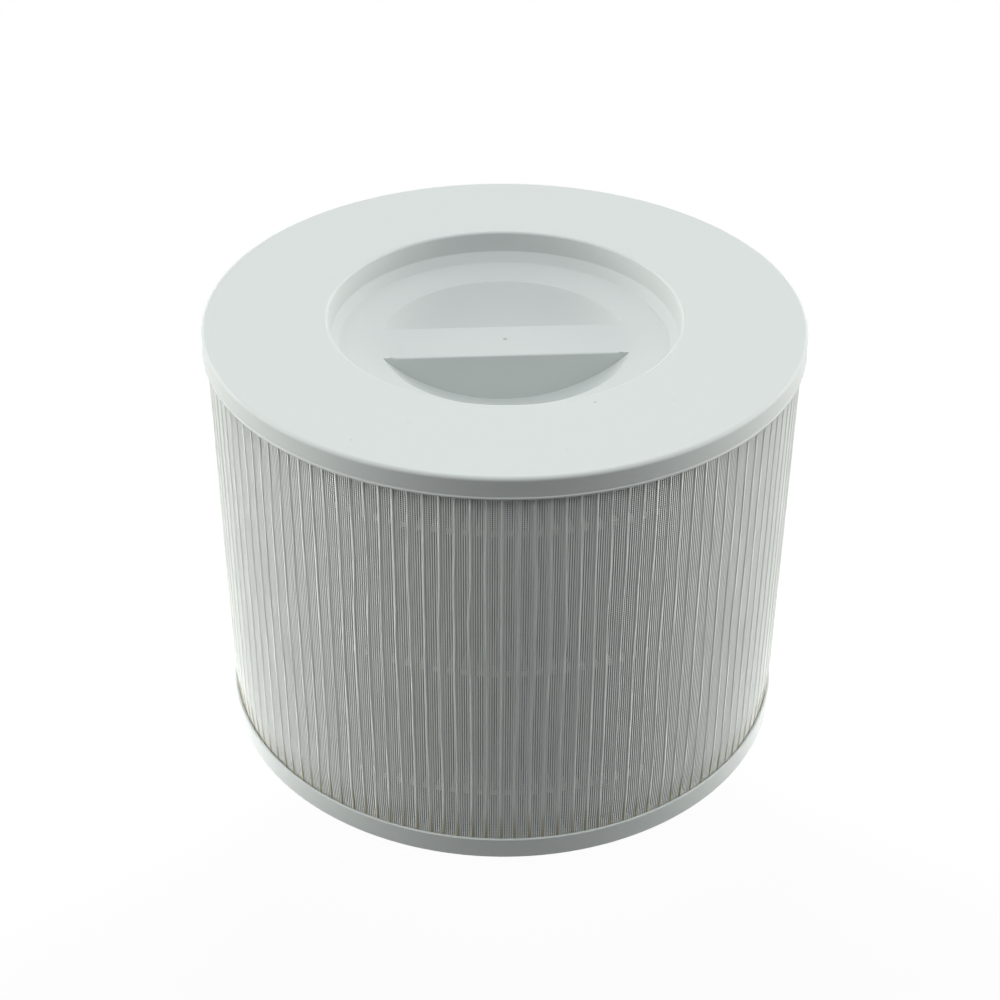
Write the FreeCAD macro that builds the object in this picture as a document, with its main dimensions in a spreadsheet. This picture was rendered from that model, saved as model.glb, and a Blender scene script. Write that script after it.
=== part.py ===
import FreeCAD, Part
import math
import os

import Sketcher
from FreeCAD import Placement, Rotation, Vector

# Squat cylindrical cartridge for a room air purifier, in millimetres.
# Air enters through the net and the pleats all round and leaves through the hole in the bottom cap.
# The origin is the centre of the seal's lower face, +Z is up along the cartridge's axis,
# and the grip web in the top cap runs along X.

# Driving sizes: name, value, what it is.
SIZES = (
    ("cap_radius", 85.0, "outer radius of the top cap"),
    ("body_height", 129.6, "underside of the bottom cap to the top face"),
    ("cap_wall", 2.0, "moulded wall of both caps"),
    ("edge_ease", 0.8, "chamfer of the top cap's outer edge and of the outlet's"),
    ("skirt_wall", 1.1, "wall of the top cap's skirt"),
    ("skirt_depth", 6.4, "top face to the skirt's lower edge"),
    ("recess_radius", 50.2, "mouth of the round recess"),
    ("recess_depth", 9.0, "top face to the recess floor"),
    ("recess_draft", 1.0, "radius that the recess wall loses on its way down"),
    ("step_depth", 6.2, "top face to the foot of the recess wall"),
    ("step_width", 2.0, "width of the sloping step at the wall's foot"),
    ("dish_radius", 35.7, "rim of the finger dish"),
    ("dish_depth", 15.0, "recess floor to the bottom of the dish"),
    ("web_width", 16.7, "width of the grip web across the dish"),
    ("ring_inset", 0.75, "bottom cap's radius is this much less than the top cap's"),
    ("ring_height", 6.8, "height of the bottom cap's rim"),
    ("ring_wall", 0.85, "wall of the bottom cap's rim"),
    ("collar_height", 10.0, "underside to the top of the outlet collar"),
    ("collar_wall", 2.2, "wall of the outlet collar"),
    ("seal_thickness", 2.0, "foam gasket under the bottom cap"),
    ("seal_width", 8.0, "width of the gasket"),
    ("seal_margin", 4.0, "outlet's edge to the gasket"),
    ("felt_thickness", 4.0, "carbon felt"),
    ("sleeve_clearance", 0.3, "felt to the collar and to the back of the recess"),
    ("felt_clearance", 0.1, "felt to the pleats"),
    ("end_clearance", 0.2, "upper ends of the pleats and the felt to the top cap"),
    ("pleat_count", 130, "pleats round the pack"),
    ("paper_thickness", 0.6, "filter paper"),
    ("fold_width", 1.8, "width of an outer fold"),
    ("pleat_clearance", 0.05, "pleat tips to the separator glue"),
    ("pack_turn", 87.5, "direction of the pleated sheet's joint, in degrees from +X"),
    ("seam_depth", 5.0, "depth of the glue strip in the sheet's joint"),
    ("seam_width", 0.5, "width of the glue strip"),
    ("bead_height", 1.8, "height of a round of separator glue"),
    ("bead_thickness", 0.4, "thickness of a round outside the pleat tips"),
    ("bead_clearance", 0.05, "separator glue to the net"),
    ("low_bead", 21.4, "underside of the bottom cap to the middle of the lowest round"),
    ("middle_bead", 64.1, "the same for the middle round"),
    ("high_bead", 109.7, "the same for the highest round"),
    ("net_thickness", 0.35, "woven net"),
    ("tuck_clearance", 0.1, "net to the inside of the bottom cap's rim"),
    ("top_tuck", 3.2, "net inside the skirt"),
    ("bottom_tuck", 3.0, "net inside the bottom cap's rim"),
    ("net_hem", 2.0, "closed net between the caps and the gaps"),
    ("net_sides", 65, "flats of the net, one to two pleats, and of the felt"),
    ("gap_count", 60, "gaps in the net; the rest of the turn is its overlapped joint"),
    ("gap_width", 5.6, "width of a gap in the net"),
)

# Half the angle between the flat and the cone under the dish, as they touch its sphere.
UNDER_STEP = math.radians(15.0)
# The blocks that cut the net's gaps are this many times as deep as the net is thick.
GAP_BLOCK_DEPTHS = 8


class Size:
    """A length that also knows the sheet expression it comes from."""

    def __init__(self, value, text):
        self.value = value
        self.text = text

    def __add__(self, other):
        other = as_size(other)
        return Size(self.value + other.value, f"({self.text} + {other.text})")

    def __sub__(self, other):
        other = as_size(other)
        return Size(self.value - other.value, f"({self.text} - {other.text})")

    def __mul__(self, other):
        other = as_size(other)
        return Size(self.value * other.value, f"({self.text} * {other.text})")

    def __truediv__(self, other):
        other = as_size(other)
        return Size(self.value / other.value, f"({self.text} / {other.text})")

    def __neg__(self):
        return Size(-self.value, f"(0 - {self.text})")

    def root(self):
        return Size(math.sqrt(self.value), f"sqrt({self.text})")


def as_size(number):
    """The number itself if it is a Size already, otherwise a plain one."""
    if isinstance(number, Size):
        return number
    return Size(float(number), str(number))


def write_sheet(doc):
    """The sheet of driving sizes, one row each."""
    sheet = doc.addObject("Spreadsheet::Sheet", "sizes")
    for row, (name, value, meaning) in enumerate(SIZES, start=1):
        sheet.set(f"A{row}", name)
        sheet.set(f"B{row}", str(value))
        sheet.setAlias(f"B{row}", name)
        sheet.set(f"C{row}", meaning)
    doc.recompute()
    return sheet


class Sizes:
    """The sheet's rows as Size values, by name."""

    def __init__(self, sheet):
        for name, value, meaning in SIZES:
            setattr(self, name, Size(float(sheet.get(name)), f"sizes.{name}"))


def derive(given):
    """Sizes that follow from the driving ones, outside in and bottom up."""
    # Heights above the seal's lower face.
    given.underside = given.seal_thickness
    given.top_face = given.seal_thickness + given.body_height
    given.pack_floor = given.underside + given.cap_wall
    given.pack_ceiling = given.top_face - given.cap_wall
    given.pack_height = given.pack_ceiling - given.pack_floor
    given.filling_height = given.pack_height - given.end_clearance
    # Radii from the outside in. The net and the glue are stretched flat from tip to tip, so they
    # are rings with flats: a radius is to a corner, and flat_share times that is to a flat.
    given.flat_share = Size(math.cos(math.pi / given.net_sides.value), "cos(180 deg / sizes.net_sides)")
    given.skirt_inside = given.cap_radius - given.skirt_wall
    given.ring_radius = given.cap_radius - given.ring_inset
    given.rim_inside = given.ring_radius - given.ring_wall
    given.net_radius = given.rim_inside - given.tuck_clearance
    given.net_inside = given.net_radius - given.net_thickness / given.flat_share
    given.bead_radius = given.net_inside - given.bead_clearance
    given.bead_inside = given.bead_radius - given.bead_thickness / given.flat_share
    given.tip_radius = given.bead_inside * given.flat_share - given.pleat_clearance
    # Radii from the recess outwards.
    given.recess_back = given.recess_radius + given.cap_wall
    given.felt_inside = given.recess_back + given.sleeve_clearance
    given.felt_radius = given.felt_inside + given.felt_thickness
    given.pleat_root_radius = given.felt_radius + given.felt_clearance
    given.collar_radius = given.felt_inside - given.sleeve_clearance
    given.outlet_radius = given.collar_radius - given.collar_wall
    # The dish is part of a sphere whose centre lies on the axis, above the recess floor.
    rim_squared = given.dish_radius * given.dish_radius
    depth_squared = given.dish_depth * given.dish_depth
    given.dish_sphere = (rim_squared + depth_squared) / (given.dish_depth * 2)
    given.dish_centre_rise = given.dish_sphere - given.dish_depth
    return given


def bind(target, path, size):
    """Ties a property to the sheet."""
    target.setExpression(path, as_size(size).text)


def new_body(doc, label, lift):
    """An empty body that stands at a height above the seal's lower face."""
    body = doc.addObject("PartDesign::Body", label)
    body.Label = label
    body.Placement = Placement(Vector(0, 0, as_size(lift).value), Rotation())
    bind(body, "Placement.Base.z", lift)
    return body


def origin_feature(body, role):
    """One of the body's own origin planes or axes."""
    return next(item for item in body.Origin.OriginFeatures if item.Role == role)


def new_sketch(body, name, role):
    """An empty sketch on one of the body's origin planes."""
    sketch = body.newObject("Sketcher::SketchObject", name)
    sketch.AttachmentSupport = (origin_feature(body, role), [""])
    sketch.MapMode = "FlatFace"
    return sketch


def hold_point(sketch, run, end, across, up):
    """Fixes one end of a run at a place given by two sizes."""
    for axis, kind, size, letter in ((-2, "DistanceX", across, "across"), (-1, "DistanceY", up, "up")):
        if as_size(size).value == 0.0 and not isinstance(size, Size):
            sketch.addConstraint(Sketcher.Constraint("PointOnObject", run, end, axis))
            continue
        index = sketch.addConstraint(Sketcher.Constraint(kind, -1, 1, run, end, as_size(size).value))
        name = f"corner_{run}_{letter}"
        sketch.renameConstraint(index, name)
        bind(sketch, f"Constraints.{name}", size)


def arc_round_axis(start, end):
    """The shorter arc between two points of a sketch, with its centre on the vertical axis."""
    squares = start.x**2 + start.y**2 - end.x**2 - end.y**2
    centre = Vector(0, squares / (2 * (start.y - end.y)), 0)
    middle = (start + end) * 0.5 - centre
    middle.normalize()
    return Part.Arc(start, centre + middle * start.distanceToPoint(centre), end)


def draw_outline(sketch, corners, arcs=()):
    """A closed outline through the corners; the runs numbered in arcs are round about the axis."""
    places = [Vector(as_size(across).value, as_size(up).value, 0) for across, up in corners]
    count = len(places)
    for run, start in enumerate(places):
        end = places[(run + 1) % count]
        shape = arc_round_axis(start, end) if run in arcs else Part.LineSegment(start, end)
        sketch.addGeometry(shape, False)
    # An arc is stored anticlockwise, so its ends may come in the other order.
    first = [end_near(sketch, run, places[run]) for run in range(count)]
    for run in range(count):
        following = (run + 1) % count
        last = 3 - first[run]
        sketch.addConstraint(Sketcher.Constraint("Coincident", run, last, following, first[following]))
        if run in arcs:
            sketch.addConstraint(Sketcher.Constraint("PointOnObject", run, 3, -2))
    for run, (across, up) in enumerate(corners):
        hold_point(sketch, run, first[run], across, up)


def end_near(sketch, run, place):
    """1 or 2, whichever end of the run lies at the place."""
    gaps = [sketch.getPoint(run, end).distanceToPoint(place) for end in (1, 2)]
    return 1 if gaps[0] <= gaps[1] else 2


def draw_circle(sketch, radius, name):
    """A circle about the sketch's origin."""
    size = as_size(radius)
    index = sketch.addGeometry(Part.Circle(Vector(0, 0, 0), Vector(0, 0, 1), size.value), False)
    sketch.addConstraint(Sketcher.Constraint("Coincident", index, 3, -1, 1))
    held = sketch.addConstraint(Sketcher.Constraint("Radius", index, size.value))
    sketch.renameConstraint(held, name)
    bind(sketch, f"Constraints.{name}", size)


def rectangle(half_width, low, high):
    """Corners of an upright rectangle centred on the vertical axis."""
    return [(-half_width, low), (half_width, low), (half_width, high), (-half_width, high)]


def revolve(body, sketch):
    """A full turn of the sketch about the cartridge's axis."""
    turn = body.newObject("PartDesign::Revolution", f"{sketch.Name}_turn")
    turn.Profile = sketch
    turn.ReferenceAxis = (sketch, ["V_Axis"])
    turn.Angle = 360.0
    return turn


def pad(body, sketch, length, side="One side"):
    """Material added along the sketch's normal."""
    feature = body.newObject("PartDesign::Pad", f"{sketch.Name}_pad")
    feature.Profile = sketch
    feature.SideType = side
    bind(feature, "Length", length)
    return feature


def pocket(body, sketch, length, side="One side"):
    """Material taken away against the sketch's normal."""
    feature = body.newObject("PartDesign::Pocket", f"{sketch.Name}_pocket")
    feature.Profile = sketch
    feature.SideType = side
    bind(feature, "Length", length)
    return feature


def upright_ring(doc, label, outer, inner, low, height):
    """A plain ring between two radii."""
    body = new_body(doc, label, low)
    sketch = new_sketch(body, f"{label}_section", "XY_Plane")
    draw_circle(sketch, outer, "outer")
    draw_circle(sketch, inner, "inner")
    pad(body, sketch, height)
    return body


def top_cap_outline(given):
    """Half section of the top cap, with its top face at height zero."""
    ease = given.edge_ease
    wall_foot = given.recess_radius - given.recess_draft
    floor_edge = wall_foot - given.step_width
    under_floor = given.recess_depth + given.cap_wall
    dish_bottom = given.recess_depth + given.dish_depth
    # The underside of the dish is a flat and a cone that touch the sphere one wall below the dish.
    sphere = given.dish_sphere + given.cap_wall
    under_rise = given.dish_centre_rise + given.cap_wall
    under_rim = (sphere - under_rise * math.cos(2 * UNDER_STEP)) / math.sin(2 * UNDER_STEP)
    return [
        (0, -dish_bottom),
        (given.dish_radius, -given.recess_depth),
        (floor_edge, -given.recess_depth),
        (wall_foot, -given.step_depth),
        (given.recess_radius, 0),
        (given.cap_radius - ease, 0),
        (given.cap_radius, -ease),
        (given.cap_radius, -given.skirt_depth),
        (given.skirt_inside, -given.skirt_depth),
        (given.skirt_inside, -given.cap_wall),
        (given.recess_back, -given.cap_wall),
        (floor_edge + given.cap_wall, -under_floor),
        (under_rim, -under_floor),
        (sphere * math.tan(UNDER_STEP), -(dish_bottom + given.cap_wall)),
        (0, -(dish_bottom + given.cap_wall)),
    ]


def top_cap(doc, given):
    """One moulding: flange, skirt, recess, finger dish and the hollow grip web across the dish."""
    body = new_body(doc, "top_cap", given.top_face)
    shell = new_sketch(body, "shell_section", "XZ_Plane")
    draw_outline(shell, top_cap_outline(given), arcs=(0,))
    revolve(body, shell)
    # The web fills the dish from wall to wall; its lower edge ends inside the dish's own wall.
    web_sphere = given.dish_sphere + given.cap_wall / 2
    web_reach = (web_sphere * web_sphere - given.dish_centre_rise * given.dish_centre_rise).root()
    web_bottom = given.recess_depth + given.dish_depth + given.cap_wall / 2
    web = new_sketch(body, "web_section", "XZ_Plane")
    corners = [(-web_reach, -given.recess_depth), (0, -web_bottom), (web_reach, -given.recess_depth)]
    draw_outline(web, corners, arcs=(0, 1))
    pad(body, web, given.web_width, "Symmetric")
    # The hollow under the web leaves the same wall all round.
    hollow = new_sketch(body, "hollow_section", "XZ_Plane")
    hollow_reach = given.dish_radius - given.cap_wall
    hollow_top = given.recess_depth + given.cap_wall
    hollow_low = web_bottom + given.cap_wall
    draw_outline(hollow, rectangle(hollow_reach, -hollow_low, -hollow_top))
    pocket(body, hollow, given.web_width - given.cap_wall * 2, "Symmetric")
    return body


def bottom_cap(doc, given):
    """One moulding: rim, floor and the collar round the air outlet."""
    ease = given.edge_ease
    body = new_body(doc, "bottom_cap", given.underside)
    section = new_sketch(body, "bottom_section", "XZ_Plane")
    corners = [
        (given.outlet_radius + ease, 0),
        (given.ring_radius, 0),
        (given.ring_radius, given.ring_height),
        (given.rim_inside, given.ring_height),
        (given.rim_inside, given.cap_wall),
        (given.collar_radius, given.cap_wall),
        (given.collar_radius, given.collar_height),
        (given.outlet_radius, given.collar_height),
        (given.outlet_radius, ease),
    ]
    draw_outline(section, corners)
    revolve(body, section)
    return body


def seal_ring(doc, given):
    """Foam gasket round the outlet, which the cartridge seals and rests on."""
    inner = given.outlet_radius + given.seal_margin
    return upright_ring(doc, "seal_ring", inner + given.seal_width, inner, 0, given.seal_thickness)


def carbon_sleeve(doc, given):
    """Black carbon felt inside the pleats, wrapped round the outlet collar and the recess."""
    inner = given.felt_inside / given.flat_share
    felt = flatted_ring(
        doc, "carbon_sleeve", given.felt_radius, inner, given.net_sides, given.filling_height
    )
    place(felt, given.pack_floor)
    return felt


def place(item, lift, turn=0.0, corner=Vector()):
    """Puts a piece at a height above the seal's lower face, turned about the cartridge's axis."""
    rotation = Rotation(Vector(0, 0, 1), turn)
    item.Placement = Placement(rotation.multVec(corner) + Vector(0, 0, lift.value), rotation)
    bind(item, "Placement.Base.z", lift)


def prism(doc, name, radius, sides, height):
    """A regular prism with its first corner over +X."""
    shape = doc.addObject("Part::Prism", name)
    bind(shape, "Polygon", sides)
    bind(shape, "Circumradius", radius)
    bind(shape, "Height", height)
    return shape


def cut(doc, name, base, tool):
    """The base without the tool."""
    result = doc.addObject("Part::Cut", name)
    result.Label = name
    result.Base = base
    result.Tool = tool
    return result


def flatted_ring(doc, name, outer, inner, sides, height):
    """A ring with flats, between two corner radii."""
    block = prism(doc, f"{name}_block", outer, sides, height)
    hole = prism(doc, f"{name}_hole", inner, sides, height)
    return cut(doc, name, block, hole)


def first_crest(given):
    """Direction of the first pleat tip past the sheet's joint, in degrees."""
    return given.pack_turn.value + 180.0 / given.pleat_count.value


def net_gaps(doc, given, low, high):
    """The blocks that open the net's flats, apart from those of its overlapped joint."""
    sides = int(given.net_sides.value)
    count = int(given.gap_count.value)
    depth = given.net_thickness.value * GAP_BLOCK_DEPTHS
    start = given.net_inside.value * given.flat_share.value - depth / 2
    corner = Vector(start, -given.gap_width.value / 2, low.value)
    closed_before = (sides - count) // 2
    blocks = []
    for gap in range(count):
        block = Part.makeBox(depth, given.gap_width.value, high.value - low.value, corner)
        block.rotate(Vector(), Vector(0, 0, 1), (gap + closed_before + 0.5) * 360.0 / sides)
        blocks.append(block)
    gaps = doc.addObject("Part::Feature", "net_gaps")
    gaps.Shape = Part.makeCompound(blocks)
    return gaps


def prefilter_net(doc, given):
    """Fine net round the pack, tucked into both caps: strips over the pleat tips and gaps between."""
    foot = given.underside + given.ring_height - given.bottom_tuck
    skirt_edge = given.top_face - given.skirt_depth
    height = skirt_edge + given.top_tuck - foot
    sides = given.net_sides
    wall = flatted_ring(doc, "net_wall", given.net_radius, given.net_inside, sides, height)
    gap_low = given.bottom_tuck + given.net_hem
    gap_high = skirt_edge - given.net_hem - foot
    net = cut(doc, "prefilter_net", wall, net_gaps(doc, given, gap_low, gap_high))
    place(net, foot, first_crest(given))
    return net


def polar(radius, angle, sideways=0.0):
    """A point at a radius and an angle in radians, shifted sideways along the circle."""
    turned = angle + sideways / radius
    return Vector(radius * math.cos(turned), radius * math.sin(turned), 0)


def pleated_section(given):
    """Outline of the folded sheet, seen from above, from one end round to the other."""
    count = int(given.pleat_count.value)
    pitch = 2 * math.pi / count
    joint = math.radians(given.pack_turn.value)
    paper = given.paper_thickness.value
    tip = given.tip_radius.value
    root = given.pleat_root_radius.value
    half_fold = given.fold_width.value / 2
    half_seam = given.seam_width.value / 2
    outside = []
    inside = []
    for pleat in range(count):
        valley = joint + pleat * pitch
        crest = valley + pitch / 2
        if pleat:
            outside.append(polar(root + paper, valley))
            inside.append(polar(root, valley, -paper))
            inside.append(polar(root, valley, paper))
        outside.append(polar(tip, crest, -half_fold))
        outside.append(polar(tip, crest, half_fold))
        inside.append(polar(tip - paper, crest))
    # The sheet's two ends stand on either side of the glue strip.
    start = [polar(root, joint, half_seam + paper), polar(root, joint, half_seam)]
    finish = [polar(root, joint, -half_seam), polar(root, joint, -half_seam - paper)]
    return start + outside + finish + inside[::-1]


def pleated_media(doc, given):
    """One folded sheet of filter paper, bent into a ring of pleats."""
    section = pleated_section(given)
    face = Part.Face(Part.makePolygon(section + section[:1]))
    media = doc.addObject("Part::Feature", "pleated_media")
    media.Label = "pleated_media"
    media.Shape = face.extrude(Vector(0, 0, given.filling_height.value))
    place(media, given.pack_floor)
    return media


def pack_seam(doc, given):
    """Glue strip between the two ends of the folded sheet."""
    strip = doc.addObject("Part::Box", "pack_seam")
    strip.Label = "pack_seam"
    bind(strip, "Length", given.seam_depth)
    bind(strip, "Width", given.seam_width)
    bind(strip, "Height", given.filling_height)
    corner = Vector(given.pleat_root_radius.value, -given.seam_width.value / 2, 0)
    place(strip, given.pack_floor, given.pack_turn.value, corner)
    return strip


def separator_beads(doc, given):
    """Three rounds of glue that run from tip to tip and hold the pleats apart."""
    heights = {
        "bead_lower": given.low_bead,
        "bead_middle": given.middle_bead,
        "bead_upper": given.high_bead,
    }
    for name, middle in heights.items():
        bead = flatted_ring(doc, name, given.bead_radius, given.bead_inside, given.net_sides, given.bead_height)
        place(bead, given.underside + middle - given.bead_height / 2, first_crest(given))


NODES = (
    "top_cap",
    "bottom_cap",
    "seal_ring",
    "carbon_sleeve",
    "prefilter_net",
    "pleated_media",
    "pack_seam",
    "bead_lower",
    "bead_middle",
    "bead_upper",
)


def check(doc):
    """Stops if a feature failed or a piece has no sound shape."""
    for item in doc.Objects:
        if "Invalid" in item.State or "Error" in item.State:
            raise RuntimeError(f"{item.Name} failed: {item.State}")
    for name in NODES:
        shape = doc.getObject(name).Shape
        if shape.isNull() or not shape.isValid():
            raise RuntimeError(f"{name} has no valid shape")
        print(name, len(shape.Solids), "solid", round(shape.Volume / 1000, 2), "cm3")


def main():
    doc = FreeCAD.newDocument("air_filter")
    given = derive(Sizes(write_sheet(doc)))
    top_cap(doc, given)
    bottom_cap(doc, given)
    seal_ring(doc, given)
    carbon_sleeve(doc, given)
    prefilter_net(doc, given)
    pleated_media(doc, given)
    pack_seam(doc, given)
    separator_beads(doc, given)
    doc.recompute()
    check(doc)
    os.makedirs("parts", exist_ok=True)
    for name in NODES:
        doc.getObject(name).Shape.exportStep(f"parts/{name}.step")


main()
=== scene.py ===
"""Air purifier filter: the pieces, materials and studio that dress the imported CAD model.

All lengths in this file are metres unless a name ends in _mm. The part stands on its seal with
+Z up, and the grip web in the top cap lies along X.
"""
import math

import bmesh
import bpy
from mathutils import Euler, Matrix, Vector, noise


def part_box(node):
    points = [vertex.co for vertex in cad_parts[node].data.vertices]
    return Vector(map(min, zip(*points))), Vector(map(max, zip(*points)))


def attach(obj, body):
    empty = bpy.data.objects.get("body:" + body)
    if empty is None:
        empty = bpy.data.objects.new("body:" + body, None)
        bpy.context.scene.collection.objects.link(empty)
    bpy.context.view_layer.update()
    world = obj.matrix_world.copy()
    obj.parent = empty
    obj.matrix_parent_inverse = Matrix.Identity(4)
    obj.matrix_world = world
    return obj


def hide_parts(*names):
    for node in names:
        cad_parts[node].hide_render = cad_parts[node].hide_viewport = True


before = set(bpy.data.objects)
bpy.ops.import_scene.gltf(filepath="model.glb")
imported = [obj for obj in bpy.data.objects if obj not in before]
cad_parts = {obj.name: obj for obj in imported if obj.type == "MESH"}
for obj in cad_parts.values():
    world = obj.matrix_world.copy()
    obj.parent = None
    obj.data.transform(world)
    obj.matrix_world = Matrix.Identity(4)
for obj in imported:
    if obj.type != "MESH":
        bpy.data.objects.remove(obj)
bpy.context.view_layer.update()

bl_info = {
    "name": "Air Purifier Filter",
    "version": (1, 0, 0),
    "blender": (4, 5, 0),
    "location": "View3D > Sidebar > Filter",
    "description": "Builds the visible pieces of a round pleated air filter and a studio for it",
    "category": "Add Mesh",
}

MM = 0.001
FULL_TURN = 2 * math.pi
TOP_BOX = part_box("top_cap")
BOTTOM_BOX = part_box("bottom_cap")
NET_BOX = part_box("prefilter_net")
MEDIA_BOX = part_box("pleated_media")
BEAD_BOXES = {name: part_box(name) for name in ("bead_lower", "bead_middle", "bead_upper")}


def linear(code):
    """An sRGB hex colour as the linear colour that Blender's sockets and colour fields take."""
    values = [int(code[i : i + 2], 16) / 255 for i in (0, 2, 4)]
    return tuple(v / 12.92 if v <= 0.04045 else ((v + 0.055) / 1.055) ** 2.4 for v in values)


def length(name, description, default):
    """A length field for a PropertyGroup."""
    return bpy.props.FloatProperty(
        name=name, description=description, default=default, min=0, precision=5,
        unit="LENGTH", subtype="DISTANCE",
    )


def colour(name, description, code):
    """A colour field for a PropertyGroup, from its sRGB hex code."""
    return bpy.props.FloatVectorProperty(
        name=name, description=description, default=linear(code), size=3, min=0, max=1,
        subtype="COLOR",
    )


class FilterSizes(bpy.types.PropertyGroup):
    """The sizes that a user would change."""

    cap_radius: length("Cap radius", "Outer radius of the top cap", TOP_BOX[1][0])
    top_height: length("Top height", "Height of the flange's upper face", TOP_BOX[1][2])
    skirt_depth: length("Skirt depth", "How far the top cap reaches down over the net", 0.0064)
    recess_radius: length("Recess radius", "Radius of the round finger recess at its mouth", 0.0502)
    dish_radius: length("Dish radius", "Radius of the dish's rim in the recess floor", 0.0357)
    web_width: length("Web width", "Width of the grip web across the dish", 0.0167)
    rim_radius: length("Rim radius", "Outer radius of the bottom cap's rim", BOTTOM_BOX[1][0])
    outlet_radius: length("Outlet radius", "Inner radius of the air outlet's collar", 0.05)
    net_radius: length("Net radius", "Outer radius of the net where it is widest", 0.08375)
    mesh_pitch: length("Mesh pitch", "Distance between two threads of the net", 0.00062)
    thread: length("Thread", "Thickness of the net's thread", 0.00031)
    fold_width: length("Fold width", "Width of a pleat's outer fold", 0.00036)
    shoulder: length("Shoulder", "Width of a pleat where its two sheets have spread", 0.0019)
    sway: length("Sway", "How far a pleat wanders sideways between the glue beads", 0.00045)
    pleats: bpy.props.IntProperty(
        name="Pleats", description="Number of pleats round the pack", default=130, min=12,
    )


class FilterColours(bpy.types.PropertyGroup):
    """The colours that a user would change."""

    cap: colour("Cap", "Moulded plastic of the two caps", "C8CCCB")
    net: colour("Net", "Thread of the net", "F3F6F4")
    paper: colour("Paper", "Filter paper at the outer folds", "E3E5E1")
    # Painted shade: the paper's colour is made darker a little way into each slot.
    slot_side_shade: colour("Slot's painted shade", "Painted shade a little way into a slot", "807C69")
    # Painted shade: the paper's colour is made near black at the inner folds.
    slot_deep_shade: colour("Deep painted shade", "Painted shade at the inner folds", "0F0E0C")
    # The paper is made darker and browner towards its foot.
    foot_tint: colour("Paper's foot", "Filter paper, darker and browner at its foot", "A89F7C")
    glue: colour("Glue", "Separator glue", "CDCFC8")
    potting: colour("Potting", "Glue bed in the bottom cap", "A89C74")
    felt: colour("Felt", "Carbon felt", "1A1A1B")
    foam: colour("Foam", "Seal foam", "8E9291")


# Mesh helpers


def chain(bm, points, closed=False):
    """Vertices at the given places, joined by edges in that order."""
    verts = [bm.verts.new(p) for p in points]
    pairs = list(zip(verts, verts[1:]))
    if closed:
        pairs.append((verts[-1], verts[0]))
    return verts, [bm.edges.new(pair) for pair in pairs]


def rounded_section(bm, corners, closed):
    """A section in the XZ plane from (radius, height, rounding) corners, in millimetres."""
    verts, _ = chain(bm, [(r * MM, 0, z * MM) for r, z, _ in corners], closed)
    for vert, (_, _, size) in zip(verts, corners):
        if size:
            bmesh.ops.bevel(
                bm, geom=[vert], offset=size * MM, offset_type="OFFSET", affect="VERTICES",
                segments=5, profile=0.5, material=-1, clamp_overlap=True,
            )


def spin_round(bm, steps):
    """Turn everything in the mesh once round the part's axis and close the seam and the poles."""
    bmesh.ops.spin(
        bm, geom=bm.verts[:] + bm.edges[:], cent=(0, 0, 0), axis=(0, 0, 1), dvec=(0, 0, 0),
        angle=FULL_TURN, steps=steps, use_merge=True, use_duplicate=False,
    )
    bmesh.ops.remove_doubles(bm, verts=bm.verts[:], dist=1e-6)
    bmesh.ops.recalc_face_normals(bm, faces=bm.faces[:])


def copies_round(bm, count):
    """Repeat everything in the mesh round the part's axis, count pieces in all."""
    bmesh.ops.spin(
        bm, geom=bm.verts[:] + bm.edges[:] + bm.faces[:], cent=(0, 0, 0), axis=(0, 0, 1),
        dvec=(0, 0, 0), angle=FULL_TURN * (count - 1) / count, steps=count - 1, use_duplicate=True,
    )


def new_piece(name, bm, material, replaced=(), smooth_angle=35):
    """Make an object of the mesh, let it ride on the part and hide the CAD parts that it replaces."""
    mesh = bpy.data.meshes.new(name)
    bm.to_mesh(mesh)
    bm.free()
    mesh.materials.append(material)
    mesh.shade_smooth()
    mesh.set_sharp_from_angle(angle=math.radians(smooth_angle))
    piece = bpy.data.objects.new(name, mesh)
    bpy.context.scene.collection.objects.link(piece)
    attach(piece, "root")
    if replaced:
        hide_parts(*replaced)
    return piece


def level_flats(piece):
    """Keep the flat faces flat to the eye where they meet a rounded edge."""
    modifier = piece.modifiers.new("Flat faces", "WEIGHTED_NORMAL")
    modifier.keep_sharp = True


# Material helpers


def add_node(tree, kind, links=(), **settings):
    """Add a node with its settings, input values and links, each link as (input, output socket)."""
    node = tree.nodes.new(kind)
    for name, value in settings.items():
        if name == "inputs":
            for socket, default in value.items():
                node.inputs[socket].default_value = default
        else:
            setattr(node, name, value)
    for socket, source in links:
        tree.links.new(source, node.inputs[socket])
    return node


def new_material(name, base, roughness, ior=1.5, specular=0.5):
    """A Principled material with its plain values, and the nodes that a pattern starts from."""
    material = bpy.data.materials.new(name)
    material.use_nodes = True
    tree = material.node_tree
    shader = tree.nodes["Principled BSDF"]
    shader.inputs["Base Color"].default_value = (*base, 1)
    shader.inputs["Roughness"].default_value = roughness
    shader.inputs["IOR"].default_value = ior
    shader.inputs["Specular IOR Level"].default_value = specular
    return material, tree, shader


def per_metre(size_mm):
    """The scale of a texture whose pattern repeats every size_mm."""
    return 1000 / size_mm


def shaded(base, factor):
    """The colour made darker or lighter by a factor."""
    return (*(min(1, c * factor) for c in base), 1)


def ratio(wanted, base):
    """The factor that turns the base colour into the wanted one, as a colour."""
    return (*(a / b for a, b in zip(wanted, base)), 1)


def smooth_range(tree, source, start, end, low, high):
    """The source eased from low to high as it goes from start to end."""
    node = add_node(
        tree, "ShaderNodeMapRange", [("Value", source)], interpolation_type="SMOOTHSTEP",
        inputs={"From Min": start, "From Max": end, "To Min": low, "To Max": high},
    )
    return node.outputs["Result"]


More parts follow.
